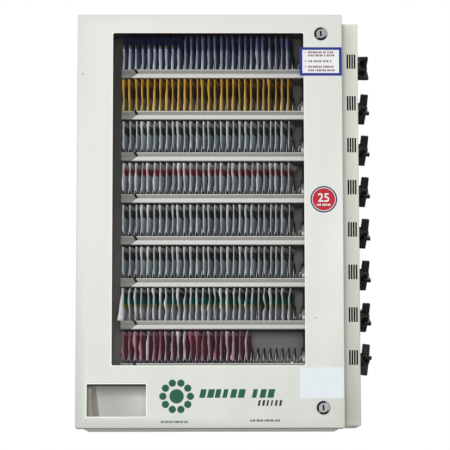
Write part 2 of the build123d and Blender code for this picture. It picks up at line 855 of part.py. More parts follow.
with BuildPart() as knob:
    with BuildSketch(arm_plane.offset(-arm_half)) as arms:
        with PolarLocations(0, 4):
            Rectangle(knob_radius, arm_thickness, align=(Align.MIN, Align.CENTER))
        fillet(arms.vertices().sort_by_distance((0, 0))[:4], valley_radius)
        fillet(arms.vertices().sort_by_distance((0, 0))[-8:], arm_corner)
    extrude(amount=2 * arm_half)
    with Locations(arm_plane.offset(-arm_half)):
        Cone(
            crown_radius + crown_run * 2 * arm_half,
            crown_radius,
            2 * arm_half,
            align=(Align.CENTER, Align.CENTER, Align.MIN),
            mode=Mode.INTERSECT,
        )
    arm_faces = knob.faces().sort_by(Axis(arm_plane.origin, arm_plane.z_dir))
    chamfer(arm_faces[0].edges() + arm_faces[-1].edges(), arm_edge)
    with BuildSketch(collar_plane):
        Circle(knob_collar_radius)
    extrude(amount=knob_collar)
    with BuildSketch(arm_plane):
        Circle(cap_radius)
    extrude(amount=arm_half + cap_height)
    with BuildSketch(Plane.YZ.offset(wall_x)):
        Circle(shaft_radius + knob_bore_fit)
    extrude(amount=knob_gap + knob_bore_depth, mode=Mode.SUBTRACT)
    # hollow in the collar, around the bush flange
    with BuildSketch(Plane.YZ.offset(wall_x)):
        Circle(bush_outer + bush_flange + knob_recess_gap)
    extrude(amount=knob_gap + knob_recess, mode=Mode.SUBTRACT)

# Sachets: flat pouches between the turns, standing on both edges of the trough.
# Their planes follow the wire over the top of the coil, so that each one passes
# between two turns, and the wire crosses below them.
sachet_bottom = lip_top + sachet_seat
sachet_height = row_pitch + floor_top - tray_sheet - sachet_headroom - sachet_bottom
sachets_per_row = coil_turns - 1
sachets_bottom_row = sachets_per_row - sold_count
sachet_yaw = math.degrees(math.atan2(coil_pitch / 2, 2 * coil_radius))


def sachet_outline(thickness):
    """A pouch from above: pointed at the front and back seams."""
    half = sachet_width / 2
    Polyline(
        (-half, 0),
        (-half + sachet_crimp, -thickness / 2),
        (half - sachet_crimp, -thickness / 2),
        (half, 0),
        (half - sachet_crimp, thickness / 2),
        (-half + sachet_crimp, thickness / 2),
        close=True,
    )


with BuildPart() as one_sachet:
    for level, thickness in (
        (sachet_bottom, sachet_seam),
        (sachet_bottom + sachet_height * 0.4, sachet_thickness),
        (sachet_bottom + sachet_height, sachet_seam),
    ):
        with BuildSketch(Plane.XY.offset(level).rotated((0, 0, 90 - sachet_yaw))):
            with BuildLine():
                sachet_outline(thickness)
            make_face()
    loft(ruled=True)

first_sachet = coil_left + wire_radius + 0.75 * coil_pitch


def sachet_row(count):
    """A row's stock as one group of separate pouches."""
    pouches = [
        one_sachet.part.moved(Location((first_sachet + coil_pitch * place, 0, 0)))
        for place in range(count)
    ]
    return Compound(children=[pouch.solid() for pouch in pouches])


full_row = sachet_row(sachets_per_row)
short_row = sachet_row(sachets_bottom_row)

for row, height in enumerate(row_heights):
    place = Location((0, axis_y, height))
    name = "row_" + str(row + 1) + "_"
    save(tray.part.moved(place), name + "tray")
    wire = plain_spiral if row < rows - 1 else spiral
    save(wire.part.moved(place), name + "spiral")
    save(coin_drum.part.moved(place), name + "coin_drum")
    save(knob.part.moved(Location((0, axis_y, height), (parked_turns[row], 0, 0))), name + "knob")
    stock = full_row if row < rows - 1 else short_row
    save(stock.moved(place), name + "sachets")
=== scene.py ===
# %% [markdown]
# # A sachet vender, dressed for its portrait
# The machine is a wall cabinet of pale coated steel. Behind its window stand eight
# rows of flat sachets, each row held between the turns of a wire spiral. A black
# knob on the right turns each spiral, and coins go into the four slots beside it.
# The CAD model already has every sheet, wire and shaft in its place. This lesson
# loads it as a frame, gives each piece its real finish, and models what CAD left
# plain: the crinkled pouches, the printed labels and the small marks of making.

# %% Load the frame
import math
import random

import bmesh
import bpy
from mathutils import Matrix, Vector, noise


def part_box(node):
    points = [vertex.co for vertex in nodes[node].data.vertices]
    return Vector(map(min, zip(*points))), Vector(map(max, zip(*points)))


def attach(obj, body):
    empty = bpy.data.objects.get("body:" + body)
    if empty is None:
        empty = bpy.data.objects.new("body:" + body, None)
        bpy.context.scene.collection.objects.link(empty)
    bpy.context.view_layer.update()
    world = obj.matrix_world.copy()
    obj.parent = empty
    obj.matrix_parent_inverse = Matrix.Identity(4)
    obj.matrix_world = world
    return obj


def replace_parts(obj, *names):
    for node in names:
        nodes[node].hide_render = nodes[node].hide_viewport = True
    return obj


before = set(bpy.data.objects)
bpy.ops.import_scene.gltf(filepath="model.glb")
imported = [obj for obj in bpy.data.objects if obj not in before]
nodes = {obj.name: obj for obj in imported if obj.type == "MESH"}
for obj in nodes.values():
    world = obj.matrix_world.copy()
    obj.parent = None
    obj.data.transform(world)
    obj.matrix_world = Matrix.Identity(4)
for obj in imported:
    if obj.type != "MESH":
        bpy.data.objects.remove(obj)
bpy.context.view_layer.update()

# %% [markdown]
# ## Shader maths as arithmetic
# A finish is a handful of textures added, scaled and mixed. Wiring them by hand
# hides the sum in a tangle of nodes, so one small class stands for a socket and
# lets Python's own operators add the Math nodes. Everything else, such as a noise
# or a ramp, comes from one method that sets the node up and feeds its sockets.

# %% One class for sockets, one for a finish
class Wire:
    """A socket of a finish. Arithmetic on it adds Math nodes."""

    def __init__(self, finish, socket):
        self.finish, self.socket = finish, socket

    def math(self, operation, first, second=None):
        settings = {"operation": operation}
        inputs = {0: first} if second is None else {0: first, 1: second}
        return self.finish.node("Math", settings, inputs)

    def __add__(self, other):
        return self.math("ADD", self, other)

    def __radd__(self, other):
        return self.math("ADD", other, self)

    def __sub__(self, other):
        return self.math("SUBTRACT", self, other)

    def __rsub__(self, other):
        return self.math("SUBTRACT", other, self)

    def __mul__(self, other):
        return self.math("MULTIPLY", self, other)

    def __rmul__(self, other):
        return self.math("MULTIPLY", other, self)

    def __truediv__(self, other):
        return self.math("DIVIDE", self, other)

    def __mod__(self, other):
        return self.math("FLOORED_MODULO", self, other)

    def __abs__(self):
        return self.math("ABSOLUTE", self)

    def __gt__(self, other):
        return self.math("GREATER_THAN", self, other)

    def __lt__(self, other):
        return self.math("LESS_THAN", self, other)


class Finish:
    """A material whose main shader is ready and whose textures are wired as sums."""

    def __init__(self, name, roughness=0.5, metallic=0.0):
        self.material = bpy.data.materials.new(name)
        self.material.use_nodes = True
        self.tree = self.material.node_tree
        self.main = self.tree.nodes["Principled BSDF"]
        self.main.inputs["Roughness"].default_value = roughness
        self.main.inputs["Metallic"].default_value = metallic

    def put(self, socket, value):
        """Links a wire to a socket, or writes a number or a colour on it."""
        if isinstance(value, Wire):
            self.tree.links.new(value.socket, socket)
        elif isinstance(value, tuple) and len(value) == 3 and socket.type == "RGBA":
            socket.default_value = (*value, 1.0)
        else:
            socket.default_value = value

    def node(self, kind, settings=None, inputs=None, out=0):
        """Any node: its settings first, then the values or wires of its sockets."""
        made = self.tree.nodes.new("ShaderNode" + kind)
        for key, value in (settings or {}).items():
            if key == "stops":
                ramp = made.color_ramp
                while len(ramp.elements) < len(value):
                    ramp.elements.new(0.5)
                for element, (place, colour) in zip(ramp.elements, value):
                    element.position, element.color = place, (*colour, 1.0)
            else:
                setattr(made, key, value)
        for key, value in (inputs or {}).items():
            self.put(made.inputs[key], value)
        return Wire(self, made.outputs[out])

    def mix(self, share, first, second):
        """A colour between two colours."""
        return self.node("Mix", {"data_type": "RGBA"}, {0: share, 6: first, 7: second}, 2)

    def point(self, scale=(1.0, 1.0, 1.0)):
        """Where a point lies on the object, in metres, stretched by scale."""
        place = self.node("TexCoord", out="Object")
        return self.node("Mapping", None, {"Vector": place, "Scale": scale})

    def noise(self, scale, detail=2.0, stretch=(1.0, 1.0, 1.0)):
        inputs = {"Vector": self.point(stretch), "Scale": scale, "Detail": detail}
        return self.node("TexNoise", None, inputs)

    def axis(self, name):
        """One coordinate on the object, in metres."""
        place = self.node("TexCoord", out="Object")
        return self.node("SeparateXYZ", None, {0: place}, name)

    def bands(self, place, stops):
        """A colour ramp read at place."""
        return self.node("ValToRGB", {"stops": stops}, {0: place})

    def grade(self, value, start, end, full=1.0):
        """Goes from nothing to full while value goes from start to end."""
        return self.node("MapRange", None, {0: value, 1: start, 2: end, 3: 0.0, 4: full})

    def largest(self, *masks):
        """The largest of several masks."""
        found = masks[0]
        for mask in masks[1:]:
            found = found.math("MAXIMUM", found, mask)
        return found

    def mirror(self, level):
        """Sets how strongly the surface mirrors, where 0.5 is plain plastic."""
        self.main.inputs["Specular IOR Level"].default_value = level

    def feed(self, **sockets):
        """Feeds the main shader: colour=, roughness=, metallic=, alpha= and bump=."""
        for key, value in sockets.items():
            name = {"colour": "Base Color", "bump": "Normal"}.get(key, key.capitalize())
            if key == "bump":
                height, strength, distance = value
                inputs = {"Height": height, "Strength": strength, "Distance": distance}
                value = self.node("Bump", None, inputs)
            self.put(self.main.inputs[name], value)


def linear(*rgb):
    """A colour read off a screen, 0 to 255, as the linear values a shader works in."""
    return tuple((c / 255 / 12.92) if c <= 10 else ((c / 255 + 0.055) / 1.055) ** 2.4 for c in rgb)


print("a mid grey of 188 is linear", round(linear(188, 188, 188)[0], 3))

# %% [markdown]
# ## Powder coat
# The cabinet, the door and the trays are folded steel with a baked powder coat. Up
# close it has a shallow orange peel and a few broad changes of tone, and it grows
# darker towards the bottom: a little dirt gathers low down, and painted shade stands
# for the light that falls off there. An image would blur where it is stretched over
# a tall door, so three noises of different sizes do it: the finest only bends the
# light, the widest only shifts the tone by a percent or two.

# %% A coat in any tone
broad_scale, cloud_scale, peel_scale = 2.2, 14.0, 900.0
tone_drift, peel_strength, peel_depth = 0.10, 0.05, 0.0006
even_dirt_and_shade, cloudy_dirt_and_shade, gloss_play = 0.75, 0.5, 0.06


def powder_coat(name, tone, dirt_and_shade, roughness=0.42, grime_and_shade=0.25, reach=(0.30, -0.02), before=None):
    """A coat that grows darker down the heights of reach, with some dirt and painted shade.

    before, if given, takes the coat and its colour and returns a changed colour.
    """
    coat = Finish(name, roughness)
    broad = coat.noise(broad_scale)
    cloud = coat.noise(cloud_scale, 3.0)
    # darker towards the bottom: some dirt, and painted shade where the light falls off
    low = coat.grade(coat.axis("Z"), *reach)
    dirt_and_shade_mix = low * (even_dirt_and_shade + cloudy_dirt_and_shade * cloud) * grime_and_shade + (broad - 0.5) * tone_drift
    colour = coat.mix(dirt_and_shade_mix, tone, dirt_and_shade)
    if before:
        colour = before(coat, colour)
    coat.feed(
        colour=colour,
        roughness=roughness - gloss_play + 2 * gloss_play * cloud,
        bump=(coat.noise(peel_scale, 1.0), peel_strength, peel_depth),
    )
    return coat.material


# %% [markdown]
# ### Where the coat changes
# The shell's inside is painted darker as shade. The edges of the coin slots carry
# painted shade, near black. Each change is a mask made from the place on the
# object, so that it follows the sheet metal under any light and from any side.

# %% Masks for the shell and the slots
rows, row_pitch, lowest_row = 8, 0.0762, 0.126
skin = 0.0008
slots, slot_pitch, slot_width, slot_height = 4, 0.00435, 0.0022, 0.0255
slots_from_edge, slot_shade_margin = 0.0122, 0.0004
slot_shade_black = (0.01, 0.01, 0.01)
shell_low, shell_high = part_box("cabinet_shell")
housing_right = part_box("side_housing")[1].x


def inside_shell(coat, colour):
    """All of the shell that lies deeper than the skin of its outer faces, painted darker as shade."""
    hidden = 1.0
    for k, name in enumerate("XYZ"):
        place = coat.axis(name)
        hidden = (place > shell_low[k] + skin) * (place < shell_high[k] - skin) * hidden
    # painted shade: the whole inside of the shell is darker
    return coat.mix(hidden, colour, linear(86, 84, 76))


def from_row(coat):
    """Height above or below the middle of the nearest row."""
    return (coat.axis("Z") - (lowest_row - row_pitch / 2)) % row_pitch - row_pitch / 2


def rubbed_slots(coat, colour):
    """Painted shade, near black, on the edges round the four coin slots of every row."""
    x, z = coat.axis("X"), coat.axis("Z")
    first = housing_right - slots_from_edge - slots / 2 * slot_pitch
    aside = abs((x - first) % slot_pitch - slot_pitch / 2)
    tall = abs(from_row(coat))
    beside = (x > first) * (x < first + slots * slot_pitch)
    between = (z > lowest_row - row_pitch / 2) * (z < lowest_row + (rows - 0.5) * row_pitch)
    near = (aside < slot_width / 2 + slot_shade_margin) * (tall < slot_height / 2 + slot_shade_margin)
    # painted shade: a near black margin round each slot
    marked = beside * between * near
    coat.feed(metallic=marked)
    return coat.mix(marked, colour, slot_shade_black)


# %% [markdown]
# ### The trays' lips
# The upright part of each tray's lip is painted darker as shade, its top edge
# carries a painted highlight, and the sloped part below keeps the pale coat. Near
# the open end a slanted notch relieves the fold: the end beyond it is bent back a
# little and lies in painted shade, and the corner below the notch carries a painted
# highlight. Behind the lip the tray is painted darker as shade. The CAD lip is
# smooth, and its vertices stay as they are, so the notch is a black mask here,
# painted shade in the slit.

# %% Masks for a lip
lip_top, lip_knee, lip_highlight = -0.0078, -0.0153, 0.0012
lip_behind, trough_behind = -0.0262, -0.0250
notch_from_end, notch_lean, notch_half = 0.0245, 0.6, 0.0026
fold_lean, corner_width = 1.3, 0.0050
shade_upright, shade_below = 0.55, 0.75
spiral_low, spiral_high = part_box("row_1_spiral")
axis_y = (spiral_low.y + spiral_high.y) / 2
tray_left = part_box("row_1_tray")[0].x


def rubbed_lip(coat, colour):
    """The tray's lip in painted light and shade: shaded upright part, highlighted top edge, black notch
    near the open end.
    """
    y, height = coat.axis("Y"), from_row(coat)
    from_notch = coat.axis("X") - (tray_left + notch_from_end)
    front = y < axis_y + lip_behind
    upright, below = front * (height > lip_knee), front * (height < lip_knee)
    # painted shade on the upright part, and a painted highlight on its top edge
    colour = coat.mix(upright, colour, linear(152, 149, 143))
    colour = coat.mix(front * (height > lip_top - lip_highlight), colour, linear(236, 236, 232))
    past = from_notch - notch_lean * (lip_top - height)
    past_fold = from_notch - notch_lean * (lip_top - lip_knee) + fold_lean * (lip_knee - height)
    shade = upright * (past < 0.0) * shade_upright + below * (past_fold < 0.0) * shade_below
    colour = coat.mix(shade, colour, linear(96, 92, 84))
    # the notch is black as painted shade in the slit
    notch = (abs(past) < notch_half) * upright
    coat.feed(metallic=notch)
    colour = coat.mix(notch, colour, (0.006, 0.006, 0.006))
    # painted highlight on the corner below the notch
    corner = below * (past_fold > 0.0) * (past_fold < corner_width)
    colour = coat.mix(corner, colour, linear(252, 252, 248))
    # painted shade on everything behind the lip
    return coat.mix(y > axis_y + trough_behind, colour, linear(96, 94, 87))


# %% [markdown]
# ### The door and the bin
# A thin painted highlight runs round the window and the delivery opening, where
# the punched edges catch the light. The inside of the door's deep pan is painted
# darker as shade. The slanted left wall of the bin lies in painted shade, a warmer
# grey than the rest.

# %% Masks for the door and the bin
door_low, door_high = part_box("door_panel")
sheet, edge_highlight, face_skin = 0.0012, 0.0016, 0.0004
# left, right, bottom and top of the two openings in the door
window = (door_low.x + 0.0630, door_high.x - 0.0685, 0.1090, 0.7005)
delivery = (door_low.x + 0.0200, door_low.x + 0.1236, 0.0200, 0.0764)
wall_reach, wall_slant = 0.0188, 0.15


def door_edges(coat, colour):
    """A painted highlight round each opening, and painted shade on the inside."""
    x, y, z = coat.axis("X"), coat.axis("Y"), coat.axis("Z")
    for left, right, bottom, top in (window, delivery):
        wide, tall = abs(x - (left + right) / 2), abs(z - (bottom + top) / 2)
        near = (wide < (right - left) / 2 + edge_highlight) * (tall < (top - bottom) / 2 + edge_highlight)
        # painted highlight round the opening
        colour = coat.mix(near * (y < door_low.y + face_skin), colour, linear(247, 248, 241))
    # painted shade inside the door's pan
    return coat.mix(y > door_low.y + sheet, colour, linear(150, 146, 134))


def bin_side(coat, colour):
    """Painted shade in a warmer grey on the wall that leans in towards the bin's floor."""
    left, bottom = delivery[0] - sheet, delivery[2] - sheet
    reach = wall_reach - wall_slant * (coat.axis("Z") - bottom)
    # painted shade on the bin's left wall
    return coat.mix(coat.axis("X") - left < reach, colour, linear(226, 218, 202))


# %% Mix the coats
# the door darkens towards the bottom, painted shade where the light falls off
pale_coat = powder_coat(
    "pale_coat", linear(227, 230, 223), linear(184, 186, 178),
    grime_and_shade=0.45, reach=(0.32, 0.0), before=door_edges,
)
shell_coat = powder_coat("shell_coat", linear(227, 230, 223), linear(190, 188, 176), before=inside_shell)
# the housing is a lighter tone of the same paint, painted light that lifts it out of the door's shadow,
# and its strong darkening towards the bottom is painted shade
housing_coat = powder_coat(
    "housing_coat", linear(234, 236, 224), linear(168, 165, 150),
    grime_and_shade=0.62, reach=(0.50, 0.0), before=rubbed_slots,
)
# a darker copy of the coat for the parts inside the cabinet: painted shade
shaded_inner_coat = powder_coat("shaded_inner_coat", linear(128, 125, 116), linear(100, 96, 88), 0.55)
# the trays are a lighter tone than the door: painted light on the lip's sloped part
tray_coat = powder_coat(
    "tray_coat", linear(244, 244, 240), linear(150, 146, 140), 0.45, before=rubbed_lip
)
# the bin is a lighter tone than the door: painted light for the lamp that hardly reaches into it
bin_coat = powder_coat(
    "bin_coat", linear(250, 250, 247), linear(206, 202, 190), 0.5, 0.1, before=bin_side
)
coats = (pale_coat, shell_coat, housing_coat, shaded_inner_coat, tray_coat, bin_coat)
print("coats:", ", ".join(coat.name for coat in coats))

# %% [markdown]
# ## Bare metals
# Five bare metals are in the machine: drawn spring wire, rolled hinge steel, turned
# drums and coin guides, brass lock nuts, and zinc plate on screws, strikes and cams.
# All share one recipe. The grain is a noise stretched along the way the metal was
# worked, and it moves the roughness more than the colour, which is what makes
# brushed steel look brushed. The tones of the wire and the drums are dark, because
# in the cabinet they mirror little light.

# %% A metal with a grain
grain_strength, grain_depth = 0.12, 0.0002
grain_smooth, grain_rough = 0.08, 0.2
stain_scale, stain_start, stain_share, stained = 30.0, 0.35, 0.5, 0.62


def worked_metal(name, tone, roughness, grain=(1.0, 1.0, 1.0), scale=260.0):
    metal = Finish(name, roughness, 1.0)
    streak = metal.noise(scale, 3.0, grain)
    stain = metal.noise(stain_scale)
    dark = tuple(stained * c for c in tone)
    metal.feed(
        colour=metal.mix((stain - stain_start) * stain_share, tone, dark),
        roughness=roughness - grain_smooth + grain_rough * streak,
        bump=(streak, grain_strength, grain_depth),
    )
    return metal.material


spring_wire = worked_metal("spring_wire", (0.30, 0.30, 0.29), 0.30, (0.2, 1.0, 1.0))
hinge_steel = worked_metal("hinge_steel", (0.56, 0.56, 0.55), 0.38, (1.0, 1.0, 0.05))
turned = worked_metal("turned", (0.24, 0.24, 0.25), 0.38, (8.0, 0.3, 0.3))
brass = worked_metal("brass", (0.70, 0.52, 0.25), 0.33, scale=120.0)
zinc = worked_metal("zinc", (0.63, 0.65, 0.66), 0.42, scale=140.0)
print("metals:", ", ".join(metal.name for metal in (spring_wire, hinge_steel, turned, brass, zinc)))

# %% [markdown]
# ## Locks
# A cam lock has a plated rim with a rolled edge, and a flat face with a keyway.
# The rolled edge would mirror what stands round it, mostly a dark room, so it
# carries a painted reflection: black on the left and below, with a gap of light
# between. The keyway and the plug's sides behind its face are painted black as
# shade. A mirror would need that room to be modelled, so all are masks round the
# nearer of the two lock centres.

# %% Rim and face
plug_low, plug_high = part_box("top_lock_plug")
lock_x, lock_front = (plug_low.x + plug_high.x) / 2, plug_low.y
upper_lock, lower_lock = 0.699, 0.035
groove, rolled_edge, rolled_reflection = (0.0076, 0.0086), (0.0106, 0.0114), 0.6
# where the rim's painted reflection is black: a direction from the lock's centre, and how near to it
to_left, left_start = (-0.8, 0.6), 0.15
to_below, below_start, fade = (0.2, -0.98), 0.55, 0.2
keyway_half, keyway_reach, keyway_lean, face_depth = 0.0016, 0.0047, 0.12, 0.0004


def lock_metal(name, rim):
    metal = Finish(name, 0.2, 1.0)
    aside, height = metal.axis("X") - lock_x, metal.axis("Z")
    above = height > (upper_lock + lower_lock) / 2
    up = height - lower_lock - above * (upper_lock - lower_lock)
    squares = aside * aside + up * up
    away = squares.math("SQRT", squares)
    streak = metal.noise(300.0, 3.0, (1.0, 0.2, 6.0))
    if rim:
        shaded = []
        for (share_x, share_z), start in ((to_left, left_start), (to_below, below_start)):
            nearness = (aside * share_x + up * share_z) / away
            shaded.append(metal.grade(nearness, start, start + fade))
        # painted reflection of a dark room on the rolled edge, black on the left and below
        groove_reflection = metal.largest(*shaded) * metal.grade(away, *groove)
        dark = metal.largest(groove_reflection, metal.grade(away, *rolled_edge, rolled_reflection))
    else:
        # painted shade: the keyway and the plug's sides behind its face are black
        keyway = (abs(aside + keyway_lean * up) < keyway_half) * (abs(up) < keyway_reach)
        dark = metal.largest(keyway, metal.axis("Y") > lock_front + face_depth)
    plated = metal.mix(streak, (0.10, 0.10, 0.105), (0.34, 0.34, 0.35))
    metal.feed(
        colour=metal.mix(dark, plated, (0.008, 0.008, 0.009)),
        roughness=0.44 + 0.20 * streak,
        bump=(streak, 0.04, grain_depth),
    )
    return metal.material


lock_rim, lock_face = lock_metal("lock_rim", True), lock_metal("lock_face", False)
print("lock metals at x =", round(lock_x, 4), "heights", (upper_lock, lower_lock))

# %% [markdown]
# ## Black moulded knobs
# The knobs are glossy black plastic. A flat black would swallow their shape, so
# the tone wanders a little near black, and fine scuffs raise the roughness where
# fingers rub. A pale room would turn smooth black grey, so it mirrors less than
# plain plastic does.

# %% Gloss black
knob_black = Finish("knob_black")
scuff = knob_black.noise(120.0, 4.0)
marked = knob_black.noise(40.0)
knob_black.feed(
    colour=knob_black.mix(marked, (0.0022, 0.0022, 0.0027), (0.0060, 0.0062, 0.0070)),
    roughness=0.08 + 0.14 * scuff * marked,
    bump=(scuff, 0.05, 0.0003),
)
knob_black.mirror(0.3)
print("knob plastic:", knob_black.material.name)

# %% [markdown]
# ## The pane
# A clear pane mostly shows what is behind it. Making it of real refracting glass
# costs many light bounces for no gain on a flat sheet, so it is a nearly clear
# film: a low alpha lets the view through. The lamp in front would lie on it as a
# haze, so it hardly mirrors at all.

# %% Clear pane
clear_pane = Finish("clear_pane")
smear = clear_pane.noise(9.0, 3.0)
clear_pane.feed(
    colour=clear_pane.mix(smear, (0.010, 0.012, 0.012), (0.022, 0.024, 0.024)),
    alpha=0.03 + 0.03 * smear,
    roughness=0.05 + 0.08 * smear,
)
clear_pane.mirror(0.03)
print("pane:", clear_pane.material.name)

# %% [markdown]
# ## Dress the CAD pieces
# Where the CAD shape is right, only its finish changes. The imported meshes come
# apart at every edge, so a weld joins them again, smooth shading rounds what is
# round, and a split at sharp angles keeps the folds crisp. All three are modifiers
# and shading, so that no vertex of the frame moves.

# %% Give each piece its finish
weld_reach, crease_angle = 1e-5, math.radians(32)
finishes = {
    "cabinet_shell": shell_coat,
    "side_housing": housing_coat,
    "door_panel": pale_coat,
    "delivery_hopper": bin_coat,
    "window_pane": clear_pane.material,
    "lock_barrels": lock_rim,
    "lock_nuts": brass,
    "coin_guides": turned,
    "shaft_bushes": knob_black.material,
}
shared = {
    shaded_inner_coat: ("divider_panel", "cash_box", "pane_retainer"),
    hinge_steel: ("cabinet_hinge_leaf", "door_hinge_leaf"),
    zinc: ("tray_screws", "lock_strikes", "top_lock_cam", "bottom_lock_cam"),
    lock_face: ("top_lock_plug", "bottom_lock_plug"),
}
in_rows = {"tray": tray_coat, "spiral": spring_wire, "coin_drum": turned, "knob": knob_black.material}
for finish, names in shared.items():
    finishes.update((name, finish) for name in names)
for row in range(1, rows + 1):
    finishes.update((f"row_{row}_{end}", finish) for end, finish in in_rows.items())

for name, finish in finishes.items():
    piece = nodes[name]
    piece.data.materials.clear()
    piece.data.materials.append(finish)
    piece.data.shade_smooth()
    piece.modifiers.new("weld", "WELD").merge_threshold = weld_reach
    piece.modifiers.new("crease", "EDGE_SPLIT").split_angle = crease_angle
print("dressed", len(finishes), "CAD pieces")

# %% [markdown]
# ## Spring wire
# The CAD model draws the wires of the seven full rows with short straight sides,
# which is enough between the pouches but looks angular close up. The real spirals
# are wound from round spring wire, so here a round tube follows the same helix. A
# curve object with a bevel could do it too, but a tube built ring by ring keeps its
# turns from twisting. A short bend leads into the coupler.

# %% Round wires for the full rows
coil_radius, wire_radius, coil_pitch, coil_turns = 0.02075, 0.00125, 0.01100517, 29
coil_steps, wire_sides = 24, 8
bend_radius, bend_steps, tail_length = 0.004, 6, 0.0028


def add_piece(name, data, *coats):
    """Puts mesh, text, lamp or camera data into the scene, with its finishes."""
    piece = bpy.data.objects.new(name, data)
    bpy.context.scene.collection.objects.link(piece)
    for coat in coats:
        data.materials.append(coat)
    return piece


def add_mesh(name, mesh, *coats):
    """The same for a mesh that is still being edited."""
    data = bpy.data.meshes.new(name)
    mesh.to_mesh(data)
    mesh.free()
    return add_piece(name, data, *coats)


def tube(mesh, points, radius):
    """A round tube along the points, its rings carried from one to the next."""
    points = [Vector(p) for p in points]
    turns = [2 * math.pi * j / wire_sides for j in range(wire_sides)]
    aside = Vector((1, 0, 0))
    rings = []
    for k, point in enumerate(points):
        ahead = (points[min(k + 1, len(points) - 1)] - points[max(k - 1, 0)]).normalized()
        aside = (aside - ahead * aside.dot(ahead)).normalized()
        other = ahead.cross(aside)
        ring = [point + radius * (aside * math.cos(a) + other * math.sin(a)) for a in turns]
        rings.append([mesh.verts.new(corner) for corner in ring])
    for near, far in zip(rings, rings[1:]):
        for j in range(wire_sides):
            k = (j + 1) % wire_sides
            mesh.faces.new([near[j], near[k], far[k], far[j]]).smooth = True
    mesh.faces.new(list(reversed(rings[0])))
    mesh.faces.new(rings[-1])


def helix(start, middle):
    """Points of a spiral that starts at the front and rises, then bends into its coupler."""
    points = []
    for k in range(coil_turns * coil_steps + 1):
        angle = 2 * math.pi * k / coil_steps
        y, z = middle.y - coil_radius * math.cos(angle), middle.z + coil_radius * math.sin(angle)
        points.append((start + coil_pitch * k / coil_steps, y, z))
    end, front = start + coil_pitch * coil_turns, middle.y - coil_radius
    for k in range(1, bend_steps + 1):
        angle = math.pi / 2 * k / bend_steps
        along, up = bend_radius * (1 - math.cos(angle)), bend_radius * math.sin(angle)
        points.append((end + along, front, middle.z + up))
    points.append((end + bend_radius + tail_length, front, middle.z + bend_radius))
    return points


coil_start = spiral_low.x + wire_radius
full_rows = range(1, rows)
for row in full_rows:
    low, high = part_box(f"row_{row}_spiral")
    mesh = bmesh.new()
    tube(mesh, helix(coil_start, (low + high) / 2), wire_radius)
    wire = add_mesh(f"wire_{row}", mesh, spring_wire)
    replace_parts(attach(wire, f"drive_{row}"), f"row_{row}_spiral")
print("round wires:", len(full_rows), "each with", len(wire.data.vertices), "points")

# %% [markdown]
# ## A sachet
# Each sachet is a pouch of printed foil, sealed on four sides. The seals are flat
# and crimped, the belly swells between them, and the seal at the front curls to the
# left, so that from the front it shows as a pale strip. Cloth under pressure would
# find such a shape too, but slowly for over two hundred pouches. One grid for each
# side, pushed out by a swelling and pulled into folds by a smooth noise, gives the
# same, and a different seed makes each pouch its own.

# %% How a pouch swells
pouch_width, pouch_height, seal = 0.060, 0.0568, 0.0065
across, up, crowding = 18, 18, 1.25
belly_round, belly_flat = 2.4, 0.6


def column(i):
    """Where a column of the grid lies from front to back, closer together at the front."""
    return (i / across) ** crowding


def swelling(u, v):
    """How full the pouch is at a point: nothing on the seals, most in the middle."""
    margin_u, margin_v = seal / pouch_width, seal / pouch_height
    a = min(u - margin_u, 1 - margin_u - u) / (0.5 - margin_u)
    b = min(v - margin_v, 1 - margin_v - v) / (0.5 - margin_v)
    if a <= 0 or b <= 0:
        return 0.0
    return (1 - (1 - a) ** belly_round) ** belly_flat * (1 - (1 - b) ** belly_round) ** belly_flat


# %% [markdown]
# ### Folds and curls
# A stored pouch keeps the marks of its packing. Its front seal and its back edge
# curl, its top opens a little, soft folds cross the belly, and one lower corner is
# cut off where it rubs on the tray. Each is a small push whose strength comes from
# the look of its row, so that one function serves every product.

# %% Where a point of a pouch lies
half_film, fold_depth, crease_depth, buckle_depth, fringe = 0.00018, 0.0005, 0.0004, 0.0005, 0.0004
lip_start, lip_width = 0.0240, 0.0060
heel_start, heel_width = 0.0215, 0.0085
top_start, mouth_start = 0.80, 0.84
corner_start, corner_reach, sway_width = 0.006, 0.024, 0.03
# ripples per metre along the pouch and up it, and the layer of the noise they are read from
folds, creases, buckles = (90, 60, 0), (240, 110, 7), (30, 30, 11)
sways, fringes, wave_layer = (0, 38, 19), (0, 200, 5), 3


def pouch_point(u, v, side, look, drawn, drift):
    """A point of one side, in the pouch's own frame: along it, out of it and up."""

    def ripple(kind):
        along, upwards, layer = kind
        return noise.noise(Vector((s * along, t * upwards, layer)) + drift)

    s, t = (u - 0.5) * pouch_width, v * pouch_height * look["tall"]
    crease = ripple(creases) * look["crease"]
    belly = swelling(u, v) * (drawn["fullness"] + fold_depth * ripple(folds) + crease_depth * crease)
    n = side * (half_film + belly)
    wave = ripple((0, look["waves"], wave_layer))
    lip = min(1.0, max(0.0, (-s - lip_start) / lip_width))
    heel = max(0.0, (s - heel_start) / heel_width)
    n += drawn["curl"] * (1 + look["wavy"] * wave) * lip**2 + drawn["lean"] * (2 * v - 1) * lip
    n += drawn["back_curl"] * (1 + wave) * heel**1.3
    n += drawn["top_curl"] * max(0.0, (v - top_start) / (1 - top_start)) ** 1.5
    n -= look["open"] * (s + pouch_width / 2) * max(0.0, (v - mouth_start) / (1 - mouth_start))
    n += buckle_depth * ripple(buckles)
    n += look["sway"] * ripple(sways) * max(0.0, -s / sway_width)
    corner = max(0.0, (-s - corner_start) / corner_reach) ** 1.6
    t += look["corner"] * corner * (1 - v) ** 4
    s += fringe * ripple(fringes)
    return Vector((s, n, t))


# %% [markdown]
# ### Two sides and a rim
# The two sides are one grid each, and a rim of narrow faces closes them, so that
# the pouch is a solid like the real one and not a lone sheet. The first side keeps
# the plain back film and the second the print. Every point also carries one number
# for its whole pouch, by which the foil makes it lighter or darker.

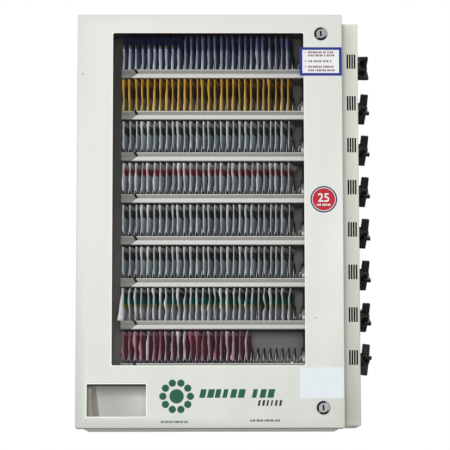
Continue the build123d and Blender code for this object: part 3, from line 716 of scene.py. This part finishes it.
# %% Build one pouch
def pouch(mesh, uv, tone, place, seed, look):
    """Adds one pouch to the row's mesh. place turns it from its own frame to the row's."""
    dice = random.Random(seed)
    drift = Vector((dice.uniform(0, 50), dice.uniform(0, 50), dice.uniform(0, 50)))
    drawn = {
        "curl": look["curl"] * dice.uniform(0.55, 1.35),
        "lean": look["lean"] * dice.uniform(-1.0, 1.0),
        "back_curl": dice.uniform(-0.0012, 0.0012),
        "top_curl": dice.uniform(-0.0006, 0.0006),
        "fullness": look["plump"] * dice.uniform(0.75, 1.1),
    }
    shade = dice.uniform(0.0, 1.0)
    sides = []
    for side in (1, -1):
        grid = []
        for j in range(up + 1):
            line = []
            for i in range(across + 1):
                vert = mesh.verts.new(place @ pouch_point(column(i), j / up, side, look, drawn, drift))
                vert[tone] = shade
                line.append(vert)
            grid.append(line)
        sides.append(grid)

    def add_face(points, corners, index):
        """A face of the given material, with the place of each corner on the pouch."""
        face = mesh.faces.new(points)
        face.material_index = index
        for loop, (j, i) in zip(face.loops, corners):
            loop[uv].uv = (column(i), j / up)
        return face

    for index, grid in enumerate(sides):
        for j in range(up):
            for i in range(across):
                corners = [(j, i), (j, i + 1), (j + 1, i + 1), (j + 1, i)]
                if index == 0:
                    corners.reverse()
                add_face([grid[a][b] for a, b in corners], corners, index).smooth = True
    rim = [(0, i) for i in range(across)] + [(j, across) for j in range(up)]
    rim += [(up, i) for i in range(across, 0, -1)] + [(j, 0) for j in range(up, 0, -1)]
    first, second = sides
    for (a, b), (c, d) in zip(rim, rim[1:] + rim[:1]):
        points = [first[a][b], first[c][d], second[c][d], second[a][b]]
        add_face(points, ((a, b), (c, d), (c, d), (a, b)), 1)


print("quads in a pouch:", 2 * across * up + 2 * (across + up))

# %% [markdown]
# ## Printed foil
# A sachet's print runs in level bands. So it is a ramp over the pouch's height,
# broken up by a noise that stands for small type. The seals stay unprinted foil,
# crossed by fine crimping ridges, and each pouch is a little lighter or darker than
# its neighbour. A pouch shows its face almost edge on, so under a third of the
# light falls on it: the colours on the face are as they look in the row, raised by
# that much. The front seal faces the light and keeps its colours.

# %% A foil for each look
grazing_light, foil_sheen = 0.31, 0.25
seal_share = seal / pouch_width
type_grain, type_start, type_full = (9.0, 44.0, 1.0), 0.55, 0.62
band_waver, rim_waver, crimp_waves, crimp_depth = 0.07, 0.05, 420.0, 0.3
darkest_pouch, shadow_tone, lip_share = 0.35, (0.02, 0.02, 0.022), seal_share * 0.80


def raised(*rgb):
    """The full colour of a face that only grazing light reaches."""
    return tuple(min(0.92, c / grazing_light) for c in linear(*rgb))


def foil(name, face, edge, seal_tone, type_tone, streaks=0.5, far_edge=None, other=None):
    """A printed foil. face and edge are bands over the height of the face and the front seal.

    far_edge, a place and its bands, is for the front seals to the right of that
    place. other is the front seal's colour on some of the pouches.
    """
    print_on = Finish(name)
    flat = print_on.node("UVMap", {"uv_map": "pouch"})
    u = print_on.node("SeparateXYZ", None, {0: flat}, "X")
    v = print_on.node("SeparateXYZ", None, {0: flat}, "Y")
    tone = print_on.node("Attribute", {"attribute_name": "tone"}, None, "Fac")
    stretch = print_on.node("Mapping", None, {"Vector": flat, "Scale": type_grain})
    letters = print_on.node("TexNoise", None, {"Vector": stretch, "Scale": 1.0, "Detail": 3.0})
    patch = print_on.node("TexNoise", None, {"Vector": flat, "Scale": 4.0, "Detail": 2.0}) - 0.5
    words = print_on.grade(letters, type_start, type_full)
    printed = print_on.mix(words * streaks, print_on.bands(v + patch * band_waver, face), type_tone)
    shaded = print_on.mix(tone * darkest_pouch, printed, shadow_tone)
    on_seal = print_on.largest(u > 1 - seal_share, v > 1 - seal_share, v < lip_share)
    sealed = print_on.mix(on_seal, shaded, seal_tone)
    rim = print_on.bands(v + patch * rim_waver, edge)
    if far_edge:
        place, stops = far_edge
        rim = print_on.mix(print_on.axis("X") > place, rim, print_on.bands(v, stops))
    if other:
        rim = print_on.mix(tone * 1.6 - 0.5, rim, other)
    lip = u < lip_share
    crimp = print_on.node("Math", {"operation": "SINE"}, {0: v * crimp_waves})
    wrinkle = print_on.noise(260.0, 3.0)
    print_on.feed(
        colour=print_on.mix(lip, sealed, rim),
        roughness=0.32 + 0.25 * wrinkle,
        metallic=foil_sheen,
        bump=(print_on.largest(on_seal, lip) * crimp * crimp_depth + wrinkle, 0.3, 0.0005),
    )
    return print_on.material


# %% [markdown]
# ### Seven products
# Each foil is a list of bands from the bottom of the pouch to its top: first those
# of the face, then those of the front seal. Rows 3, 5 and 6 hold the same product.
# In row 1 the pouches on the right have turned their seals a little, so that these
# are plain and paler there.

# %% Bands of every product
white_foil = linear(232, 236, 240)
far_blue = [
    (0.0, linear(240, 246, 255)), (0.50, linear(226, 234, 252)),
    (0.62, linear(150, 162, 200)), (1.0, linear(104, 114, 150)),
]
foils = {
    1: foil(
        "foil_1",
        [(0.0, raised(94, 102, 122)), (0.50, raised(80, 88, 112)),
         (0.62, raised(40, 46, 80)), (1.0, raised(38, 44, 82))],
        [(0.0, linear(238, 244, 255)), (0.60, linear(226, 236, 255)), (0.635, linear(28, 36, 74)),
         (0.67, linear(168, 176, 72)), (0.71, linear(34, 42, 84)), (1.0, linear(26, 34, 80))],
        raised(60, 70, 110), raised(90, 110, 150), far_edge=(-0.077, far_blue),
    ),
    2: foil(
        "foil_2",
        [(0.0, raised(132, 118, 92)), (0.38, raised(116, 100, 76)), (0.46, raised(62, 44, 36)),
         (0.74, raised(64, 46, 38)), (0.86, raised(140, 98, 46)), (1.0, raised(150, 106, 46))],
        [(0.0, linear(255, 220, 120)), (0.5, linear(255, 208, 92)), (1.0, linear(250, 190, 78))],
        raised(150, 112, 52), raised(96, 76, 58),
    ),
    3: foil(
        "foil_3",
        [(0.0, raised(116, 130, 146)), (0.52, raised(132, 146, 160)), (0.58, raised(136, 150, 164)),
         (0.61, raised(50, 56, 68)), (0.66, raised(46, 52, 46)), (0.84, raised(54, 58, 44)),
         (0.88, raised(214, 218, 220))],
        [(0.0, linear(246, 250, 255)), (0.5, linear(240, 246, 254)), (1.0, linear(250, 252, 252))],
        white_foil, raised(128, 136, 60), streaks=0.35,
    ),
    4: foil(
        "foil_4",
        [(0.0, raised(124, 132, 140)), (0.60, raised(134, 142, 150)), (0.63, raised(108, 34, 38)),
         (0.82, raised(124, 38, 40)), (0.85, raised(214, 214, 214)), (1.0, raised(226, 226, 226))],
        [(0.0, linear(248, 251, 254)), (0.62, linear(244, 248, 252)),
         (0.72, linear(232, 196, 196)), (0.86, linear(250, 251, 252))],
        white_foil, raised(150, 150, 154), streaks=0.2,
    ),
    7: foil(
        "foil_7",
        [(0.0, raised(140, 142, 162)), (0.34, raised(138, 140, 160)), (0.40, raised(116, 114, 66)),
         (0.50, raised(110, 106, 50)), (0.54, raised(16, 92, 76)), (0.70, raised(18, 84, 70)),
         (0.76, raised(46, 50, 54)), (1.0, raised(50, 50, 56))],
        [(0.0, linear(244, 248, 254)), (1.0, linear(248, 252, 254))],
        white_foil, raised(70, 76, 84), streaks=0.4,
    ),
    8: foil(
        "foil_8",
        [(0.0, raised(92, 62, 78)), (0.30, raised(104, 36, 52)),
         (0.6, raised(88, 34, 50)), (1.0, raised(116, 38, 52))],
        [(0.0, linear(222, 172, 190)), (0.4, linear(206, 140, 156)), (1.0, linear(208, 122, 136))],
        raised(170, 130, 150), raised(160, 150, 170), other=linear(240, 226, 240),
    ),
}
foils[5] = foils[6] = foils[3]
foil_back = foil(
    "foil_back",
    [(0.0, raised(120, 124, 130)), (1.0, raised(112, 116, 122))],
    [(0.0, linear(214, 220, 226)), (1.0, linear(222, 226, 230))],
    white_foil, raised(90, 92, 96),
)
print("foils:", len(set(foils.values())) + 1)

# %% [markdown]
# ## Fill the rows
# A row's stock is one object, so that it can slide with its own CAD body when the
# knob turns. Each pouch stands where the CAD pouch stands: half a pitch from the
# wire, turned a few degrees with it. Small changes of turn and place keep the row
# from looking printed. Row 7's first pouch has slipped off its wire, and its lower
# edge stands out to the left.

# %% Looks of the stock
plain_look = {
    "plump": 0.0013, "curl": 0.0020, "lean": 0.0006, "crease": 1.0, "waves": 50, "wavy": 0.7,
    "sway": 0.0006, "corner": 0.0, "tall": 1.0, "open": 0.0,
}
looks = {row: dict(plain_look) for row in range(1, rows + 1)}
looks[1].update(curl=0.0024, tall=1.10)
looks[2].update(curl=0.0021, tall=1.03)
for row in (3, 5, 6):
    looks[row].update(curl=0.0018, corner=0.0075, lean=0.0008, open=0.10)
looks[4].update(curl=0.0019, corner=0.0065, lean=0.0010, open=0.15)
looks[7].update(curl=0.0019, waves=75, wavy=1.2, sway=0.0028, crease=1.6, tall=1.03)
looks[8].update(curl=0.0021, plump=0.0011, wavy=1.1, lean=0.0022, sway=0.0024, corner=0.0065, crease=2.6)
slipped = dict(looks[7], curl=0.0060, lean=0.0048, wavy=0.2, sway=0.0)
same_stock = {5: 3, 6: 3}
print("products:", len(set(range(1, rows + 1)) - set(same_stock)))

# %% Stock
cad_yaw = math.atan2(0.0055, 0.0415)
yaw = cad_yaw + math.radians(2.5)
turn_play, lean_play, place_play = 1.6, 0.8, 0.0006


def stock_row(row):
    """Fills one row as its CAD box says, and returns the number of pouches."""
    low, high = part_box(f"row_{row}_sachets")
    middle_y = (low.y + high.y) / 2
    reach = pouch_width / 2 * math.sin(cad_yaw)
    count = round((high.x - low.x - 2 * reach) / coil_pitch) + 1
    start = (low.x + high.x) / 2 - (count - 1) * coil_pitch / 2
    mesh = bmesh.new()
    uv = mesh.loops.layers.uv.new("pouch")
    tone = mesh.verts.layers.float.new("tone")
    kind = same_stock.get(row, row)
    for place in range(count):
        dice = random.Random(kind * 100 + place)
        turn = math.pi / 2 - yaw + math.radians(dice.uniform(-turn_play, turn_play))
        x = start + place * coil_pitch + dice.uniform(-place_play, place_play)
        lean = math.radians(dice.uniform(-lean_play, lean_play))
        turned_in = Matrix.Rotation(turn, 4, "Z") @ Matrix.Rotation(lean, 4, "X")
        stand = Matrix.Translation((x, middle_y, low.z)) @ turned_in
        look = slipped if (row, place) == (7, 0) else looks[row]
        pouch(mesh, uv, tone, stand, kind * 1000 + place, look)
    stock = add_mesh(f"pouches_{row}", mesh, foil_back, foils[row])
    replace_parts(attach(stock, f"stock_{row}"), f"row_{row}_sachets")
    return count


counts = [stock_row(row) for row in range(1, rows + 1)]
print("pouches in each row:", counts)

# %% [markdown]
# ## Labels
# The door carries a few vinyl stickers. An image on the door would be quick, but a
# real sticker has an edge that catches light, so they are thin sheets just proud
# of the coat, built from flat outlines: a rounded frame, a disc, bars and plain
# numbers. Each layer of vinyl lies a little further out than the one below.

# %% Inks and outlines
def ink(name, tone, roughness=0.5):
    """A printed vinyl colour, slightly uneven like any sticker."""
    vinyl = Finish(name, roughness)
    fade = vinyl.noise(60.0)
    pale = tuple(min(1.0, c * 1.15 + 0.01) for c in tone)
    vinyl.feed(colour=vinyl.mix(fade, tone, pale), roughness=roughness - 0.08 + 0.16 * fade)
    vinyl.mirror(0.15)
    return vinyl.material


tones = {
    "white": (238, 240, 242),
    "blue": (38, 48, 140),
    "navy": (30, 38, 92),
    "red": (190, 30, 48),
    "green": (16, 86, 60),
    "black": (30, 32, 34),
    "pale": (230, 237, 245),
    "wine": (120, 60, 82),
}
inks = {name: ink(f"vinyl_{name}", linear(*tone)) for name, tone in tones.items()}


def outline(width, height, corner=0.0, steps=6):
    """The corners of a rectangle about the middle, rounded if corner is given."""
    points = []
    for sx, sz, first in ((1, 1, 0), (-1, 1, 90), (-1, -1, 180), (1, -1, 270)):
        cx, cz = sx * (width / 2 - corner), sz * (height / 2 - corner)
        for k in range(steps + 1 if corner else 1):
            angle = math.radians(first + 90 * k / steps)
            points.append((cx + corner * math.cos(angle), cz + corner * math.sin(angle)))
    return points


def circle(radius, steps=48):
    turns = [2 * math.pi * k / steps for k in range(steps)]
    return [(radius * math.cos(a), radius * math.sin(a)) for a in turns]


print("inks:", ", ".join(inks))

# %% Stickers and numbers
door_middle, door_face = (door_low.x + door_high.x) / 2, door_low.y
layer_step, vinyl_thickness, text_half, text_weight = 0.00012, 0.00010, 0.00005, 0.012


def sticker(name, colour, x, z, points, layer=1):
    """A flat piece at x from the door's middle and z up, facing the viewer."""
    depth = door_face - layer_step * layer
    data = bpy.data.meshes.new(name)
    front = [(door_middle + x + a, depth, z + b) for a, b in points]
    back = [(p[0], depth + vinyl_thickness, p[2]) for p in front]
    count = len(front)
    faces = [tuple(range(count)), tuple(reversed(range(count, 2 * count)))]
    faces += [(k, k + count, (k + 1) % count + count, (k + 1) % count) for k in range(count)]
    data.from_pydata(front + back, [], faces)
    data.update()
    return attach(add_piece(name, data, inks[colour]), "door")


def number(name, text, colour, x, z, size, layer):
    """A plain number, set as text and thickened like vinyl."""
    curve = bpy.data.curves.new(name, "FONT")
    curve.body = text
    curve.size = size
    curve.align_x, curve.align_y = "CENTER", "CENTER"
    curve.extrude = text_half
    curve.offset = size * text_weight
    piece = add_piece(name, curve, inks[colour])
    piece.location = (door_middle + x, door_face - layer_step * layer, z)
    piece.rotation_euler = (math.pi / 2, 0, 0)
    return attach(piece, "door")


# %% [markdown]
# ### Type without words
# Small print is too fine to read at this distance. What counts is its grey value
# and its rhythm, so rows of little blocks, the size of letters and set in words,
# stand for it. Slanted blocks make a bold line.

# %% A line of blocks
letter_widths, block_thickness = (0.82, 1.0, 0.9, 0.7), 0.00006


def type_line(name, colour, x, z, words, letter, gap, tall, layer, slant=0.0):
    """Letter-sized blocks from x rightwards, about z. words lists the letters of each word."""
    depth = door_face - layer_step * layer
    corners, faces = [], []
    cursor = x
    for count in words:
        for k in range(count):
            wide = letter * letter_widths[(k * 7 + count) % len(letter_widths)]
            base = len(corners)
            for a, b in ((0, -tall / 2), (wide, -tall / 2), (wide, tall / 2), (0, tall / 2)):
                corners.append((door_middle + cursor + a + slant * (b + tall / 2), depth, z + b))
            faces.append((base, base + 1, base + 2, base + 3))
            cursor += letter + gap
        cursor += letter
    data = bpy.data.meshes.new(name)
    data.from_pydata(corners, [], faces)
    data.update()
    piece = add_piece(name, data, inks[colour])
    piece.modifiers.new("vinyl", "SOLIDIFY").thickness = block_thickness
    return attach(piece, "door")


# %% [markdown]
# ### The three stickers on the right
# The upper one is a blue frame round three numbered steps. Below it sits a price
# disc in navy, white and red, and near the bottom lies a pale blank label. Each is
# a stack of outlines, the largest at the back.

# %% Frame, disc and blank label
frame_w, frame_h, frame_x, frame_z = 0.0750, 0.0515, 0.1970, 0.6490
lines_x, numbers_x = frame_x - 0.0222, frame_x - 0.0272
sticker("steps_frame", "blue", frame_x, frame_z, outline(frame_w, frame_h, 0.0006), 1)
sticker("steps_field", "white", frame_x, frame_z, outline(frame_w - 0.0100, frame_h - 0.0098), 2)
lines = [
    (0.0164, (9, 2, 4)), (0.0108, (4, 5, 1, 5)), (0.0003, (3, 5, 4, 1)),
    (-0.0096, (9, 7)), (-0.0161, (4, 7, 5)),
]
for order, (rise, words) in enumerate(lines, 1):
    type_line(f"steps_line_{order}", "wine", lines_x, frame_z + rise, words, 0.0021, 0.0006, 0.0036, 3)
for step, rise in enumerate((0.0164, 0.0003, -0.0096), 1):
    number(f"steps_number_{step}", str(step), "wine", numbers_x, frame_z + rise, 0.0056, 3)

disc_x, disc_z = 0.2008, 0.4016
discs = (("price_ring", "navy", 0.0236), ("price_white", "white", 0.0211), ("price_red", "red", 0.0199))
for layer, (name, colour, radius) in enumerate(discs, 1):
    sticker(name, colour, disc_x, disc_z, circle(radius), layer)
number("price_number", "25", "white", disc_x - 0.0003, disc_z + 0.0022, 0.0215, 4)
type_line("price_line", "white", disc_x - 0.0122, disc_z - 0.0098, (3, 6), 0.0019, 0.0006, 0.0036, 4)
sticker("blank_label", "pale", 0.1950, 0.0785, outline(0.0765, 0.0540, 0.0008), 1)
print("price disc at", (disc_x, disc_z), "and steps at", (frame_x, frame_z))

# %% [markdown]
# ### The green group on the lower rail
# The lower rail balances the tall window with a patch of green: a plain round of
# dots and a line of bold slanted blocks, with fine print under both. Two small
# chips in the coat show dark. All are cut from the same thin vinyl as the labels.

# %% Dots, heading and marks
mark_x, mark_z, around, mark_radius = -0.0582, 0.0552, 10, 0.0240
sticker("mark_middle", "green", mark_x, mark_z, circle(0.0125), 1)
for k in range(around):
    angle = 2 * math.pi * k / around
    x, z = mark_x + mark_radius * math.cos(angle), mark_z + mark_radius * math.sin(angle)
    sticker(f"mark_dot_{k + 1}", "green", x, z, circle(0.0064, 24), 1)
type_line("heading", "green", -0.0190, 0.0600, (6, 3), 0.0112, 0.0022, 0.0150, 1, slant=0.22)
type_line("subheading", "black", 0.0830, 0.0435, (6,), 0.0040, 0.0034, 0.0100, 1, slant=0.2)
type_line("small_left", "green", -0.0860, 0.0108, (3, 6, 8, 3), 0.0017, 0.0004, 0.0036, 1)
type_line("small_right", "black", 0.0700, 0.0130, (4, 5, 7, 4), 0.0019, 0.0004, 0.0036, 1)
for count, (x, z, radius) in enumerate([(-0.2256, 0.6268, 0.0011), (0.1850, 0.1920, 0.0010)], 1):
    sticker(f"chip_{count}", "black", x, z, circle(radius, 12), 1)
print("stickers placed on the door, middle at x =", round(door_middle, 4))

# %% [markdown]
# ### The strip over the delivery opening
# A dark line runs under the top edge of the delivery opening, where the gap
# behind the sheet lies in shade. A black strip stands there as painted shade. It
# is cut like a sticker, on a layer far enough back to lie behind the sheet.

# %% Shadow strip
# painted shade: a black strip standing for the shaded gap
shadow_black = Finish("shadow_black", 0.95)
shadow_grain = shadow_black.noise(900.0, 3.0)
shadow_strip_tone = shadow_black.mix(shadow_grain, (0.006, 0.006, 0.006), (0.020, 0.020, 0.019))
shadow_black.feed(colour=shadow_strip_tone, bump=(shadow_grain, 0.4, 0.0005))
inks["shadow"] = shadow_black.material
shadow_top, shadow_hang, shadow_layer = 0.0790, 0.0056, -14
shadow_x, shadow_width = (delivery[0] + delivery[1]) / 2 - door_middle, delivery[1] - delivery[0]
shadow_shape = outline(shadow_width, shadow_hang, 0.0004)
sticker("shadow_strip", "shadow", shadow_x, shadow_top - shadow_hang / 2, shadow_shape, shadow_layer)
print("felt strip from", round(shadow_top - shadow_hang, 4), "to", shadow_top)

# %% [markdown]
# ## Floor and background
# The machine hangs on a wall and stands out against white. A white wall would throw
# light back on it, so the white comes from the world instead: what the camera,
# mirrors and clear panes see is white, and what lights the object is a soft even
# grey. The pale floor lies well under the machine.

# %% Stage
floor_size, floor_z = 12, -1.2
soft_level, white_level = 0.19, 1.0
bpy.ops.mesh.primitive_plane_add(size=floor_size, location=(0, 0, floor_z))
floor = bpy.context.object
floor.name = "floor"
floor_paint = Finish("floor_paint", 0.8)
floor_tone = floor_paint.noise(0.5)
floor_paint.feed(colour=floor_paint.mix(floor_tone, (0.82, 0.82, 0.82), (0.86, 0.86, 0.86)))
floor.data.materials.append(floor_paint.material)

world = bpy.data.worlds.new("studio")
bpy.context.scene.world = world
world.use_nodes = True
tree = world.node_tree
soft = tree.nodes["Background"]
white = tree.nodes.new("ShaderNodeBackground")
for background, level in ((soft, soft_level), (white, white_level)):
    background.inputs[0].default_value = (1.0, 1.0, 1.0, 1.0)
    background.inputs[1].default_value = level
ray = tree.nodes.new("ShaderNodeLightPath")
choose = tree.nodes.new("ShaderNodeMixShader")
seen = ray.outputs["Is Camera Ray"]
for kind in ("Is Glossy Ray", "Is Transmission Ray"):
    either = tree.nodes.new("ShaderNodeMath")
    either.operation = "MAXIMUM"
    tree.links.new(seen, either.inputs[0])
    tree.links.new(ray.outputs[kind], either.inputs[1])
    seen = either.outputs[0]
tree.links.new(seen, choose.inputs[0])
tree.links.new(soft.outputs[0], choose.inputs[1])
tree.links.new(white.outputs[0], choose.inputs[2])
tree.links.new(choose.outputs[0], tree.nodes["World Output"].inputs[0])
print("floor at", floor_z, "and soft light at", soft_level)

# %% [markdown]
# ## Two lamps
# The light on such a cabinet comes mostly from the front, so that it reaches the
# front seals of the pouches and leaves their faces dark. A softbox of 0.7 metres
# stands in front of the door, near its lower end, and a weaker one of 1.2 metres
# stands high on the left, so that the right side and the housing fall off gently.

# %% Lamps
centre = (door_middle, door_face, 0.37)


def lamp(name, location, size, power):
    """A square softbox that faces the middle of the door."""
    data = bpy.data.lights.new(name, "AREA")
    data.size = size
    data.energy = power
    made = add_piece(name, data)
    made.location = location
    made.rotation_euler = (Vector(centre) - Vector(location)).to_track_quat("-Z", "Y").to_euler()
    return made


lamps = [lamp("key", (-0.8, -2.6, 1.7), 1.2, 25), lamp("front", (-0.1, -3.5, 0.10), 0.7, 48)]
print("lamps:", ", ".join(made.name for made in lamps))

# %% [markdown]
# ## Camera
# The view is from nearly four metres with a long lens, a little below the machine
# and in line with its middle, looking up by seven degrees. These figures come from
# fitting a camera to the door's four corners and the underside strip. The axes are
# set as a matrix, because a fitted roll is small and would be lost in an aim.

# %% Camera
pitch, turn, roll = 0.1276, 0.0087, -0.0015
focal_pixels, view_pixels, sensor = 2145.33, 450, 36.0
stand = Vector((door_middle - 0.00608, door_face - 3.74418, -0.12444))
ahead = Vector((math.sin(turn) * math.cos(pitch), math.cos(turn) * math.cos(pitch), math.sin(pitch)))
side = Vector((math.cos(turn), -math.sin(turn), 0))
top = side.cross(ahead)
right_axis = side * math.cos(roll) + top * math.sin(roll)
up_axis = top * math.cos(roll) - side * math.sin(roll)
lens = bpy.data.cameras.new("camera")
lens.sensor_width = sensor
lens.lens = focal_pixels / view_pixels * sensor
lens.clip_end = 100
camera = add_piece("camera", lens)
axes = Matrix((right_axis, up_axis, -ahead)).transposed().to_4x4()
camera.matrix_world = Matrix.Translation(stand) @ axes
bpy.context.scene.camera = camera
bpy.context.scene.view_settings.view_transform = "Standard"
print("camera at", [round(c, 3) for c in stand])
